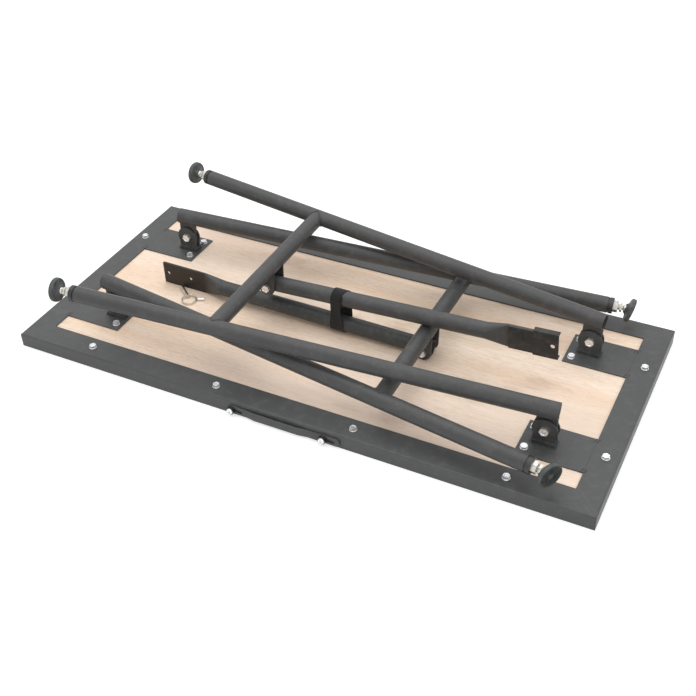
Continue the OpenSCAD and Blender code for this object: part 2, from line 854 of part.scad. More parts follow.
rim_near();
rim_far();
rim_left();
rim_right();
worktop_board();
rim_bolts();
hinge_plate(left, near);  // hinge_plate_left_near
hinge_plate(left, far);  // hinge_plate_left_far
hinge_plate(right, near);  // hinge_plate_right_near
hinge_plate(right, far);  // hinge_plate_right_far
plate_screws();
clevis(left, near);  // clevis_left_near
clevis(left, far);  // clevis_left_far
clevis(right, near);  // clevis_right_near
clevis(right, far);  // clevis_right_far
hinge_bolts();
hinge_nuts();
carry_handle();
handle_bushes();
handle_bolts();
leg_tube(right, near);  // leg_tube_right_near
leg_tube(right, far);  // leg_tube_right_far
cross_tube(right);  // cross_tube_right
end_caps(right);  // end_caps_right
hinge_lug(right, near);  // hinge_lug_right_near
hinge_lug(right, far);  // hinge_lug_right_far
strut_bracket(right);  // strut_bracket_right
strut_bolt(right);  // strut_bolt_right
leg_tube(left, near);  // leg_tube_left_near
leg_tube(left, far);  // leg_tube_left_far
cross_tube(left);  // cross_tube_left
end_caps(left);  // end_caps_left
hinge_lug(left, near);  // hinge_lug_left_near
hinge_lug(left, far);  // hinge_lug_left_far
strut_bracket(left);  // strut_bracket_left
strut_bolt(left);  // strut_bolt_left
strut_right();
strut_channel();
strut_left();
webbing_strap();
jam_nut(right, near);  // jam_nut_right_near
foot_stem(right, near);  // foot_stem_right_near
foot_pad(right, near);  // foot_pad_right_near
jam_nut(right, far);  // jam_nut_right_far
foot_stem(right, far);  // foot_stem_right_far
foot_pad(right, far);  // foot_pad_right_far
jam_nut(left, near);  // jam_nut_left_near
foot_stem(left, near);  // foot_stem_left_near
foot_pad(left, near);  // foot_pad_left_near
jam_nut(left, far);  // jam_nut_left_far
foot_stem(left, far);  // foot_stem_left_far
foot_pad(left, far);  // foot_pad_left_far
lock_pin();
pull_ring();
ring_ferrule();
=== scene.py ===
import bpy
import bmesh
from itertools import product
from math import asin, atan2, cos, pi, radians, sin, sqrt
from mathutils import Matrix, Vector


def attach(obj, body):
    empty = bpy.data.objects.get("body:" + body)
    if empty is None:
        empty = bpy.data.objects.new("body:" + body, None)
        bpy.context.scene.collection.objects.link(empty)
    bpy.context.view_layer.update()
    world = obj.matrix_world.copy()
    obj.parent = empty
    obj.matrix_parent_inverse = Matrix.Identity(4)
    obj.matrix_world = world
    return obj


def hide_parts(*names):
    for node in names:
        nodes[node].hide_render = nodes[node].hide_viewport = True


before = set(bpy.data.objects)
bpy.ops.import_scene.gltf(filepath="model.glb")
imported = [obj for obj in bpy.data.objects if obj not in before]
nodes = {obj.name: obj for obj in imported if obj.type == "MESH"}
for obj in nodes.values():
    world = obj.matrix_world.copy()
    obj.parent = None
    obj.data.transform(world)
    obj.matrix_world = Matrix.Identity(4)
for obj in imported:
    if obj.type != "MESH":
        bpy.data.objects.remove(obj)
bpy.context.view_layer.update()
mm = 0.001
tiny = 1e-6
endSigns = {"right": 1, "left": -1}
rowSigns = {"near": -1, "far": 1}
bothWays = (-1, 1)

top = {
    "halfLength": 500 * mm, "halfWidth": 229 * mm, "face": 25 * mm, "flange": 42 * mm, "boltIn": 21 * mm,
    "longBolts": (-362.5 * mm, -120.8333 * mm, 120.8333 * mm, 362.5 * mm),
    "shortBolts": (-111 * mm, 111 * mm), "plateY": 115 * mm, "plateWidth": 75 * mm,
    "screwX": 365 * mm, "screwY": 24 * mm,
}
leg = {
    "hingeX": 383 * mm, "shift": 5 * mm, "hingeZ": 52 * mm, "hingeY": 117 * mm, "clevisY": 114.5 * mm,
    "clevisSide": 6.3 * mm, "offset": 39.5 * mm, "over": 16 * mm, "length": 786 * mm, "radius": 13.5 * mm,
    "crossAt": 526 * mm, "cap": 10 * mm, "splay": radians(6.5),
    "fold": {"right": radians(2.7), "left": radians(-2.3)},
}
strut = {
    "y": 6 * mm, "drop": 32.5 * mm, "earAt": 17 * mm, "flatTo": -274 * mm,
    "tilt": {"right": radians(2.784234), "left": radians(0.735220)},
}


def legPoint(end, along, across, above):  # a point of a folded leg frame, measured from its hinge axis
    fold = leg["fold"][end]
    sign = endSigns[end]
    return Vector((sign * (leg["hingeX"] - along * cos(fold) + above * sin(fold)) + leg["shift"], across,
                   leg["hingeZ"] + along * sin(fold) + above * cos(fold)))


def strutPoint(end, across):  # the axis on which a strut swings
    return legPoint(end, leg["crossAt"], across, leg["offset"] - strut["drop"])


def tubeLine(end, row):  # start of a leg tube's axis and its direction towards the foot
    fold = leg["fold"][end]
    along = Vector((-endSigns[end] * cos(fold), 0, sin(fold)))
    line = along * cos(leg["splay"]) + Vector((0, rowSigns[row], 0)) * sin(leg["splay"])
    return legPoint(end, 0, rowSigns[row] * leg["hingeY"], leg["offset"]) - line * leg["over"], line


def placed(origin, axis, hint):  # matrix whose Z runs along axis and whose X leans towards hint
    z = axis.normalized()
    x = (hint - z * hint.dot(z)).normalized()
    turn = Matrix((x, z.cross(x), z)).transposed().to_4x4()
    turn.translation = origin
    return turn


def unit(value):  # held between 0 and 1
    return min(1.0, max(0.0, value))


def linked(name, data):
    thing = bpy.data.objects.new(name, data)
    bpy.context.scene.collection.objects.link(thing)
    return thing


# Wires and finishes: material maths written as sums
def makeNode(tree, kind, settings, sockets):
    made = tree.nodes.new(kind)
    for setting, value in settings.items():
        setattr(made, setting, value)
    for socket, value in sockets.items():
        if isinstance(value, bpy.types.NodeSocket):
            tree.links.new(value, made.inputs[socket])
        else:
            made.inputs[socket].default_value = value
    return made


class Wire:
    def __init__(self, finish, socket):
        self.finish = finish
        self.socket = socket

    def math(self, operation, other=0.0, flip=False):
        pair = (other, self) if flip else (self, other)
        return self.finish.node("ShaderNodeMath", {"operation": operation}, {0: pair[0], 1: pair[1]})

    def __add__(self, other):
        return self.math("ADD", other)

    def __sub__(self, other):
        return self.math("SUBTRACT", other)

    def __rsub__(self, other):
        return self.math("SUBTRACT", other, flip=True)

    def __mul__(self, other):
        return self.math("MULTIPLY", other)

    def __abs__(self):
        return self.math("ABSOLUTE")

    def below(self, level, soft):  # 1 under the level, 0 over it
        return self.step(level + soft, level - soft)

    def above(self, level, soft):
        return self.step(level - soft, level + soft)

    def step(self, start, end):
        return self.finish.node("ShaderNodeMapRange", {"interpolation_type": "SMOOTHSTEP"},
                                {"Value": self, "From Min": start, "From Max": end})


class Finish:
    def __init__(self, name, **constants):
        self.material = bpy.data.materials.new(name)
        self.material.use_nodes = True
        self.tree = self.material.node_tree
        self.tree.nodes.clear()
        named = {socket.replace("_", " "): value for socket, value in constants.items()}
        self.shader = makeNode(self.tree, "ShaderNodeBsdfPrincipled", {}, named)
        makeNode(self.tree, "ShaderNodeOutputMaterial", {}, {"Surface": self.shader.outputs[0]})
        self.place = self.node("ShaderNodeTexCoord", {}, {}, "Object")

    def node(self, kind, settings, sockets, out=0):
        plain = {key: value.socket if isinstance(value, Wire) else value for key, value in sockets.items()}
        return Wire(self, makeNode(self.tree, kind, settings, plain).outputs[out])

    def feed(self, **wires):
        for socket, wire in wires.items():
            self.tree.links.new(wire.socket, self.shader.inputs[socket.replace("_", " ")])

    def stretched(self, scale, where=None):
        return self.node("ShaderNodeMapping", {"vector_type": "POINT"},
                         {"Vector": where or self.place, "Scale": scale})

    def noise(self, scale, detail=3.0, rough=0.55, where=None):
        place = where or self.place
        return self.node("ShaderNodeTexNoise", {},
                         {"Vector": place, "Scale": scale, "Detail": detail, "Roughness": rough})

    def colours(self, share, first, second):
        ends = [colour if isinstance(colour, Wire) else tone(*colour) for colour in (first, second)]
        return self.node("ShaderNodeMix", {"data_type": "RGBA"}, {0: share, 6: ends[0], 7: ends[1]}, 2)

    def bump(self, height, depth, strength):
        return self.node("ShaderNodeBump", {}, {"Height": height, "Distance": depth, "Strength": strength})

    def parts(self, out, where=None):
        return self.node("ShaderNodeSeparateXYZ", {}, {0: where or self.place}, out)


def tone(*levels):  # a colour as seen on screen, 0 to 255, turned to the shader's scale
    return (*(((level / 255 + 0.055) / 1.055) ** 2.4 for level in levels), 1.0)


powder = {  # a noise has its scale first, then its detail and roughness where they aren't the usual ones
    "specular": 0.36, "roughness": 0.42, "depth": 0.12 * mm, "bump": 0.55,
    "cloud": (9.0, 4.0), "cloudTint": 0.9, "cloudRough": 0.16,
    "dust": (70.0, 5.0, 0.7), "dustRamp": (0.48, 0.68), "dustShare": 0.10, "dustRough": 0.14,
    "dustTone": (150, 148, 142),
    "grain": (1400.0, 2.0), "grainTint": 0.35, "grainHeight": 0.3, "peel": (420.0, 2.0), "peelHeight": 0.7,
}


def makePowderCoat(name, light, dark, marked=None):  # satin powder coat: orange peel, faint clouds and dust
    look = powder
    coat = Finish(name, Specular_IOR_Level=look["specular"])
    cloud = coat.noise(*look["cloud"]) - 0.5
    dust = coat.noise(*look["dust"]).step(*look["dustRamp"])
    grain = coat.noise(*look["grain"])
    peel = coat.noise(*look["peel"])
    shade = coat.colours(cloud * look["cloudTint"] + 0.5 + (grain - 0.5) * look["grainTint"], dark, light)
    shade = coat.colours(dust * look["dustShare"], shade, look["dustTone"])
    if marked:
        shade = marked(coat, shade)
    roughness = cloud * look["cloudRough"] + look["roughness"] + dust * look["dustRough"]
    relief = peel * look["peelHeight"] + grain * look["grainHeight"]
    coat.feed(Base_Color=shade, Roughness=roughness, Normal=coat.bump(relief, look["depth"], look["bump"]))
    return coat


seam = {
    "half": 0.6 * mm, "soft": 0.5 * mm, "endSoft": 0.4 * mm, "skin": 1.2 * mm, "skinSoft": 0.4 * mm,
    "share": 0.42, "tone": (50, 51, 52), "ground": 9 * mm, "groundSoft": 4 * mm, "stray": 8 * mm,
    "strayScale": 60.0, "groundShare": 0.18, "groundTone": (98, 99, 100),
}


def markSeams(coat, shade):  # the ground mitre and plate seams of the frame
    acrossEnd, acrossSide = abs(coat.parts("X")), abs(coat.parts("Y"))
    mitre = top["halfLength"] - acrossEnd - top["halfWidth"] + acrossSide
    flat = coat.parts("Z").above(top["face"] - seam["skin"], seam["skinSoft"])
    inner = top["halfLength"] - top["flange"]
    plate = abs(acrossEnd - inner).below(seam["half"], seam["soft"])
    plate *= abs(acrossSide - top["plateY"]).below(top["plateWidth"] / 2, seam["endSoft"])
    lines = abs(mitre).below(seam["half"], seam["soft"]) + plate
    stray = (coat.noise(seam["strayScale"]) - 0.5) * seam["stray"]
    ground = abs(mitre + stray).below(seam["ground"], seam["groundSoft"]) * flat
    shade = coat.colours(ground * seam["groundShare"], shade, seam["groundTone"])
    return coat.colours(lines * flat * seam["share"], shade, seam["tone"])


darkEnd = {"past": 6 * mm, "soft": 12 * mm, "share": 0.9, "tone": (42, 36, 30)}


def darkenFlat(coat, shade):  # the pressed end of the left strut took a darker coat
    end = coat.parts("X").below(strut["flatTo"] + darkEnd["past"], darkEnd["soft"])
    return coat.colours(end * darkEnd["share"], shade, darkEnd["tone"])


pressed = {
    "x": 304.8 * mm, "z": 112.7 * mm, "slope": 0.0486, "half": (8 * mm, 10.4 * mm), "soft": 0.6 * mm,
    "coreX": 304.4 * mm, "coreDown": 0.6 * mm, "coreHalf": (7 * mm, 9.2 * mm), "coreSoft": 0.7 * mm,
    # the lighter band is a painted highlight on the recess's edge, the dark core is painted shade inside it
    "litEdgeShare": 0.22, "litEdgeTone": (78, 82, 78), "shadeShare": 0.6, "shadeTone": (34, 40, 37),
}


def paintRecessShade(coat, shade):  # a shallow square pressed into the channel, above its rivet, drawn only in colour: painted shade inside it and a painted highlight round its edge
    x, z = coat.parts("X"), coat.parts("Z")
    lift = z - pressed["z"] - (x - pressed["x"]) * pressed["slope"]
    (wide, tall), (coreWide, coreTall) = pressed["half"], pressed["coreHalf"]
    inside = abs(x - pressed["x"]).below(wide, pressed["soft"]) * abs(lift).below(tall, pressed["soft"])
    core = abs(x - pressed["coreX"]).below(coreWide, pressed["coreSoft"])
    core *= abs(lift + pressed["coreDown"]).below(coreTall, pressed["coreSoft"])
    # painted highlight: a lighter band round the recess
    shade = coat.colours((inside - core) * pressed["litEdgeShare"], shade, pressed["litEdgeTone"])
    # painted shade: the dark core of the recess
    return coat.colours(core * pressed["shadeShare"], shade, pressed["shadeTone"])


board = {
    "specular": 0.35, "roughness": 0.60, "grainRough": 0.2, "depth": 0.18 * mm, "bump": 0.5,
    "bend": 12 * mm, "bendNoise": (3.0, 2.0), "grainHeight": 0.6, "poreDepth": 0.5, "fleckHeight": 0.2,
    "band": (1.2, 16.0, 3.0, 0.6), "bandRamp": (0.34, 0.62), "tones": ((242, 215, 190), (250, 231, 212)),
    "cloud": 2.2, "cloudRamp": (0.42, 0.66), "cloudShare": 0.42, "cloudTone": (250, 226, 211),
}
figures = {  # each run is stretched along and across the grain, then has its detail and roughness
    "grain": {"run": (9.0, 260.0, 5.0, 0.65), "ramp": (0.42, 0.70), "share": 0.42, "tone": (228, 200, 170)},
    "fleck": {"run": (80.0, 520.0, 3.0, 0.6), "ramp": (0.51, 0.65), "share": 0.34, "tone": (208, 174, 146)},
    "pore": {"run": (38.0, 900.0, 2.0, 0.6), "ramp": (0.61, 0.71), "share": 0.34, "tone": (170, 136, 106)},
    "smoke": {"run": (2.6, 11.0, 3.0, 0.5), "ramp": (0.53, 0.67), "share": 0.50, "tone": (216, 197, 172)},
    # darker brown patches scattered at random over the board
    "brownPatch": {"run": (5.0, 17.0, 4.0, 0.6), "ramp": (0.605, 0.725), "share": 0.42, "tone": (178, 146, 120)},
}


def makeWood():
    wood = Finish("paleWood", Specular_IOR_Level=board["specular"])
    bend = (wood.noise(*board["bendNoise"]) - 0.5) * board["bend"]
    x, y, z = (wood.parts(axis) for axis in "XYZ")
    bent = wood.node("ShaderNodeCombineXYZ", {}, {0: x, 1: y + bend, 2: z})

    def run(along, across, detail, rough):  # noise drawn out along the grain
        return wood.noise(1.0, detail, rough, wood.stretched((along, across, across), bent))

    shade = wood.colours(run(*board["band"]).step(*board["bandRamp"]), *board["tones"])
    raw, shown = {}, {}
    for name, figure in figures.items():
        raw[name] = run(*figure["run"])
        shown[name] = raw[name].step(*figure["ramp"])
        shade = wood.colours(shown[name] * figure["share"], shade, figure["tone"])
    cloud = wood.noise(board["cloud"]).step(*board["cloudRamp"])
    shade = wood.colours(cloud * board["cloudShare"], shade, board["cloudTone"])
    relief = raw["grain"] * board["grainHeight"] - shown["pore"] * board["poreDepth"]
    relief += raw["fleck"] * board["fleckHeight"]
    wood.feed(Base_Color=shade, Roughness=(raw["grain"] - 0.5) * board["grainRough"] + board["roughness"],
              Normal=wood.bump(relief, board["depth"], board["bump"]))
    return wood


plating = {
    "roughness": 0.22, "depth": 0.04 * mm, "bump": 0.5,
    "mark": (1.0, 3.0, 0.6), "markStretch": (300.0, 300.0, 2400.0),
    "cloud": 260.0, "cloudRamp": (0.3, 0.7), "cloudRough": 0.16,
}


def makeZinc(name, light, dark, metal):  # plated steel with faint drawing marks
    zinc = Finish(name, Metallic=metal)
    cloud = zinc.noise(plating["cloud"])
    mark = zinc.noise(*plating["mark"], zinc.stretched(plating["markStretch"]))
    shade = zinc.colours(cloud.step(*plating["cloudRamp"]), dark, light)
    zinc.feed(Base_Color=shade, Roughness=cloud * plating["cloudRough"] + plating["roughness"],
              Normal=zinc.bump(mark, plating["depth"], plating["bump"]))
    return zinc


moulded = {
    "specular": 0.5, "depth": 0.05 * mm, "bump": 0.5, "spark": (2600.0, 2.0),
    "cloud": 40.0, "cloudRamp": (0.3, 0.7), "cloudRough": 0.14,
}


def makePlastic(name, light, dark, roughness):
    plastic = Finish(name, Specular_IOR_Level=moulded["specular"])
    cloud = plastic.noise(moulded["cloud"])
    shade = plastic.colours(cloud.step(*moulded["cloudRamp"]), dark, light)
    plastic.feed(Base_Color=shade, Roughness=(cloud - 0.5) * moulded["cloudRough"] + roughness,
                 Normal=plastic.bump(plastic.noise(*moulded["spark"]), moulded["depth"], moulded["bump"]))
    return plastic


tyre = {
    "specular": 0.4, "roughness": 0.50, "depth": 0.06 * mm, "bump": 0.6, "grain": (1500.0, 2.0),
    "cloud": (120.0, 4.0), "cloudRamp": (0.3, 0.7), "tones": ((60, 63, 63), (84, 88, 88)),
    "dust": (420.0, 4.0, 0.7), "dustRamp": (0.52, 0.68), "dustShare": 0.16, "dustRough": 0.2,
    "dustTone": (140, 138, 132),
}


def makeRubber():
    rubber = Finish("padRubber", Specular_IOR_Level=tyre["specular"])
    dust = rubber.noise(*tyre["dust"]).step(*tyre["dustRamp"])
    shade = rubber.colours(rubber.noise(*tyre["cloud"]).step(*tyre["cloudRamp"]), *tyre["tones"])
    shade = rubber.colours(dust * tyre["dustShare"], shade, tyre["dustTone"])
    rubber.feed(Base_Color=shade, Roughness=dust * tyre["dustRough"] + tyre["roughness"],
                Normal=rubber.bump(rubber.noise(*tyre["grain"]), tyre["depth"], tyre["bump"]))
    return rubber


weave = {
    "map": "webbing", "specular": 0.25, "sheen": 0.1, "sheenRoughness": 0.5, "roughness": 0.82,
    "rib": 1.1 * mm, "yarn": 1.6 * mm, "ramp": (-0.8, 0.8), "tones": ((24, 24, 24), (42, 42, 42)),
    "depth": 0.22 * mm, "bump": 0.8, "wovenHeight": 0.5, "ribHeight": 0.4,
    "lint": (900.0, 3.0, 0.7), "lintRamp": (0.54, 0.70), "lintShare": 0.12, "lintRough": 0.1,
    "lintTone": (110, 108, 104),
}


def makeWebbing():  # woven black webbing, its pattern drawn on the strap's own map in metres
    cloth = Finish("blackWebbing", Specular_IOR_Level=weave["specular"], Sheen_Weight=weave["sheen"],
                   Sheen_Roughness=weave["sheenRoughness"])
    spread = cloth.node("ShaderNodeUVMap", {"uv_map": weave["map"]}, {})
    ribs = (cloth.parts("X", spread) * (2 * pi / weave["rib"])).math("SINE")
    yarns = (cloth.parts("Y", spread) * (2 * pi / weave["yarn"])).math("SINE")
    woven = ribs * yarns
    lint = cloth.noise(*weave["lint"]).step(*weave["lintRamp"])
    shade = cloth.colours(woven.step(*weave["ramp"]), *weave["tones"])
    shade = cloth.colours(lint * weave["lintShare"], shade, weave["lintTone"])
    relief = woven * weave["wovenHeight"] + ribs * weave["ribHeight"]
    cloth.feed(Base_Color=shade, Roughness=lint * weave["lintRough"] + weave["roughness"],
               Normal=cloth.bump(relief, weave["depth"], weave["bump"]))
    return cloth


rimCoat = makePowderCoat("rimCoat", (88, 89, 89), (67, 68, 68), markSeams)
tubeCoat = makePowderCoat("tubeCoat", (83, 83, 83), (57, 58, 58))
strutCoat = makePowderCoat("strutCoat", (74, 76, 75), (53, 55, 54), darkenFlat)
blackCoat = makePowderCoat("blackCoat", (72, 73, 74), (53, 54, 55))
channelCoat = makePowderCoat("channelCoat", (50, 49, 48), (38, 37, 36), paintRecessShade)
weldCoat = makePowderCoat("weldCoat", (70, 71, 71), (46, 47, 47))
wood = makeWood()
zinc = makeZinc("brightZinc", (250, 250, 249), (222, 224, 227), 0.8)
stemZinc = makeZinc("stemZinc", (228, 226, 217), (186, 184, 177), 0.9)
pinSteel = makeZinc("pinSteel", (206, 202, 194), (170, 165, 156), 0.95)
capPlastic = makePlastic("capPlastic", (52, 52, 52), (38, 38, 38), 0.38)
bushPlastic = makePlastic("bushPlastic", (34, 34, 34), (24, 24, 24), 0.45)
handlePlastic = makePlastic("handlePlastic", (76, 77, 77), (64, 65, 65), 0.50)
rubber = makeRubber()
webbing = makeWebbing()
print("finishes made")

finishes = (
    (rimCoat, ("rim_near", "rim_far", "rim_left", "rim_right", "hinge_plate_")),
    (tubeCoat, ("leg_tube_", "cross_tube_", "strut_right")),
    (strutCoat, ("strut_left",)),
    (blackCoat, ("clevis_", "hinge_lug_", "strut_bracket_")),
    (channelCoat, ("strut_channel",)),
    (wood, ("worktop_board",)),
    (capPlastic, ("end_caps_",)),
    (bushPlastic, ("handle_bushes",)),
    (handlePlastic, ("carry_handle",)),
    (rubber, ("foot_pad_",)),
    (webbing, ("webbing_strap",)),
    (zinc, ("rim_bolts", "plate_screws", "hinge_bolts", "hinge_nuts", "handle_bolts", "strut_bolt_",
            "ring_ferrule")),
    (stemZinc, ("jam_nut_", "foot_stem_")),
    (pinSteel, ("lock_pin", "pull_ring")),
)
for finish, names in finishes:
    for name, piece in nodes.items():
        if name.startswith(names):
            piece.data.materials.clear()
            piece.data.materials.append(finish.material)
print("frame painted")


# Shapes shared by several pieces
def added(bm, matrix, build, *sizes):  # builds in a small frame of its own, then places the result
    part = bmesh.new()
    build(part, *sizes)
    bmesh.ops.remove_doubles(part, verts=part.verts[:], dist=2 * tiny)
    bmesh.ops.recalc_face_normals(part, faces=part.faces[:])
    mesh = bpy.data.meshes.new("part")
    part.to_mesh(mesh)
    part.free()
    mesh.transform(matrix)
    bm.from_mesh(mesh)
    bpy.data.meshes.remove(mesh)


def profiled(bm, profile):  # edges through (radius, height) pairs
    verts = [bm.verts.new((radius, 0, height)) for radius, height in profile]
    return verts + [bm.edges.new(pair) for pair in zip(verts, verts[1:])]


def turned(bm, profile, steps=48):  # the profile turned about Z
    bmesh.ops.spin(bm, geom=profiled(bm, profile), cent=(0, 0, 0), axis=(0, 0, 1), angle=2 * pi, steps=steps,
                   use_merge=True)


def rounded(face, radius):  # moves a face's corners onto a circle about Z
    for v in face.verts:
        v.co.xy = v.co.xy.normalized() * radius


hexagon = {  # shares of the width across flats, and of the bore for a nut's mouths
    "circle": 0.475, "inset": 0.02, "fall": 0.577, "cuts": 3, "dishRim": 0.07, "dishWall": 0.05,
    "mouth": 1.09, "mouthInset": 0.04, "lead": 0.09, "level": 0.99,
}


def hexPrism(bm, flats, start, height, dish=0.0):  # hexagon with a chamfered, faintly dished top
    circle = flats * hexagon["circle"]
    made = bmesh.ops.create_cone(bm, cap_ends=True, cap_tris=False, segments=6, radius1=flats / sqrt(3),
                                 radius2=flats / sqrt(3), depth=height,
                                 matrix=Matrix.Translation((0, 0, start + height / 2)))
    rise = start + height
    face = max({f for v in made["verts"] for f in v.link_faces}, key=lambda f: f.calc_center_median().z)
    bmesh.ops.subdivide_edges(bm, edges=list(face.edges), cuts=hexagon["cuts"])
    outer = list(face.verts)
    bmesh.ops.inset_region(bm, faces=[face], thickness=flats * hexagon["inset"])
    rounded(face, circle)
    for v in outer:
        v.co.z = rise - (v.co.xy.length - circle) * hexagon["fall"]
    if dish:
        bmesh.ops.inset_region(bm, faces=[face], thickness=flats * hexagon["dishRim"])
        bmesh.ops.inset_region(bm, faces=[face], thickness=flats * hexagon["dishWall"], depth=-dish)


def hexNut(bm, flats, start, height, bore):
    hexPrism(bm, flats, start, height)
    bm.normal_update()
    ends = [f for f in bm.faces if abs(f.normal.z) > hexagon["level"] and len(f.verts) != 4]
    upper = max(ends, key=lambda f: f.calc_center_median().z)
    lower = min(ends, key=lambda f: f.calc_center_median().z)
    bmesh.ops.subdivide_edges(bm, edges=list(lower.edges), cuts=hexagon["cuts"])
    mouths = []
    for face, inward in ((upper, -1), (lower, 1)):
        bmesh.ops.inset_region(bm, faces=[face], thickness=flats * hexagon["inset"])
        rounded(face, bore * hexagon["mouth"])
        bmesh.ops.inset_region(bm, faces=[face], thickness=bore * hexagon["mouthInset"])
        rounded(face, bore)
        for v in face.verts:
            v.co.z += inward * bore * hexagon["lead"]
        mouths += list(face.edges)
    bmesh.ops.delete(bm, geom=[upper, lower], context="FACES_ONLY")
    bmesh.ops.bridge_loops(bm, edges=mouths)


helix = {"steps": 24, "crestFrom": 0.40, "crestTo": 0.52, "rootFrom": 0.92}  # heights as shares of the pitch


def thread(bm, radius, depth, pitch, start, length):
    turns, steps, root = int(length / pitch), helix["steps"], radius - depth
    profile = ((root, start), (radius, start + pitch * helix["crestFrom"]),
               (radius, start + pitch * helix["crestTo"]), (root, start + pitch * helix["rootFrom"]),
               (root, start + pitch))
    bmesh.ops.spin(bm, geom=profiled(bm, profile), cent=(0, 0, 0), axis=(0, 0, 1), dvec=(0, 0, pitch / steps),
                   angle=2 * pi * turns, steps=steps * turns, use_merge=False)


def finishPiece(name, bm, finish, body, replaced=(), crease=32, turnOut=True):
    if turnOut:
        bmesh.ops.recalc_face_normals(bm, faces=bm.faces[:])
    for face in bm.faces:
        face.smooth = True
    for edge in bm.edges:
        edge.smooth = len(edge.link_faces) == 2 and edge.calc_face_angle(0) < radians(crease)
    mesh = bpy.data.meshes.new(name)
    bm.to_mesh(mesh)
    bm.free()
    mesh.materials.append(finish.material)
    piece = linked(name, mesh)
    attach(piece, body)
    if replaced:
        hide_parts(*replaced)


# Small bolts in the rims and hinge plates
smallBolt = {
    "flats": 10 * mm, "head": 4 * mm, "washer": 6.2 * mm, "washerHeight": 0.8 * mm, "edge": 0.15 * mm,
    "shank": 3 * mm, "depth": 16 * mm, "into": 0.1 * mm, "dish": 0.5 * mm, "steps": 24,
    "firstTurn": 0.37, "nextTurn": 1.13,  # each hexagon stands at its own angle
}


def addSmallBolt(bm, turn):
    size = smallBolt
    shank, washer, high, edge = size["shank"], size["washer"], size["washerHeight"], size["edge"]
    turned(bm, ((0, -size["depth"]), (shank, -size["depth"]), (shank, size["into"]), (0, size["into"])),
           size["steps"])
    turned(bm, ((0, 0), (washer - edge, 0), (washer, edge), (washer, high - edge), (washer - edge, high),
                (0, high)))
    added(bm, Matrix.Rotation(turn, 4, "Z"), hexPrism, size["flats"], high, size["head"], size["dish"])


def makeSmallBolts(name, spots, replaced):
    bm = bmesh.new()
    for number, (x, y) in enumerate(spots):
        turn = smallBolt["firstTurn"] + number * smallBolt["nextTurn"]
        added(bm, Matrix.Translation((x, y, top["face"])), addSmallBolt, turn)
    finishPiece(name, bm, zinc, "top", (replaced,))


rimSpots = [(x, row * (top["halfWidth"] - top["boltIn"])) for x in top["longBolts"] for row in bothWays]
rimSpots += [(end * (top["halfLength"] - top["boltIn"]), y) for y in top["shortBolts"] for end in bothWays]
plateSpots = [(end * top["screwX"], row * top["plateY"] + step * top["screwY"])
              for end, row, step in product(bothWays, repeat=3)]
makeSmallBolts("rimBolts", rimSpots, "rim_bolts")
makeSmallBolts("plateScrews", plateSpots, "plate_screws")
print("small bolts made")

# Small dark dots beside the near bolts: painted bolt shadows, thin black discs on the flange
boltShadowDot = {
    "radius": 1.1 * mm, "rise": 0.06 * mm, "aside": 6.5 * mm, "back": 5 * mm, "crown": 0.8, "middle": 0.4,
    "steps": 24,
}


def makeBoltShadowDots():
    bm = bmesh.new()
    radius, rise = boltShadowDot["radius"], boltShadowDot["rise"]
    profile = ((0, -rise), (radius, -rise), (radius * boltShadowDot["crown"], rise), (0, rise * boltShadowDot["middle"]))
    for x in top["longBolts"]:
        # painted shadow: a dark disc set off beside each near bolt
        spot = (x + boltShadowDot["aside"], top["boltIn"] - top["halfWidth"] - boltShadowDot["back"], top["face"])
        added(bm, Matrix.Translation(spot), turned, profile, boltShadowDot["steps"])
    finishPiece("paintedBoltShadows", bm, bushPlastic, "top")


makeBoltShadowDots()

# Hinge and strut bolts with their lock nuts
pivotBolt = {
    "flats": 13 * mm, "head": 5.3 * mm, "dish": 0.9 * mm, "radius": 4 * mm, "root": 1 * mm, "core": 0.9,
    "coreStep": 0.2 * mm, "tail": 2 * mm, "tip": 0.7, "tipHeight": 1 * mm, "pitch": 1.25 * mm,
    "threadDepth": 0.12, "threadFrom": 0.3 * mm, "threadShort": 1.2 * mm, "steps": 32,
    "turn": (1, 0, 0.3), "hingeLean": 0.4,  # how a flat of the head stands
}
lockNut = {
    "height": 6.5 * mm, "collar": 1.6 * mm, "collarRadius": 0.46, "overlap": 0.4 * mm, "shoulder": 0.5,
    "roll": ((0.93, 0.2 * mm), (0.84, 0)), "mouth": 0.3 * mm,  # the roll's share of the radius, and drop
}


def addPivotBolt(bm, grip):  # along Z, with its head under -grip and its threaded tail past the nut
    size = pivotBolt
    r, end = size["radius"], grip + lockNut["height"] + size["tail"]
    core, low, neck = r * size["core"], -grip - size["root"], end - size["tipHeight"]
    turned(bm, ((0, low), (r, low), (r, grip), (core, grip + size["coreStep"]), (core, neck),
                (r * size["tip"], end), (0, end)), size["steps"])
    thread(bm, r, r * size["threadDepth"], size["pitch"], grip + size["threadFrom"],
           end - grip - size["threadShort"])
    added(bm, Matrix.Translation((0, 0, -grip)) @ Matrix.Rotation(pi, 4, "X"), hexPrism, size["flats"], 0,
          size["head"], size["dish"])


def addLockNut(bm, grip):
    size = lockNut
    height, end = size["height"] - size["collar"], grip + size["height"]
    hexPrism(bm, pivotBolt["flats"], grip, height)
    r = pivotBolt["flats"] * size["collarRadius"]
    profile = [(r, grip + height - size["overlap"]), (r, grip + height + size["collar"] * size["shoulder"])]
    profile += [(r * share, end - drop) for share, drop in size["roll"]]
    turned(bm, profile + [(pivotBolt["radius"], end - size["mouth"])])


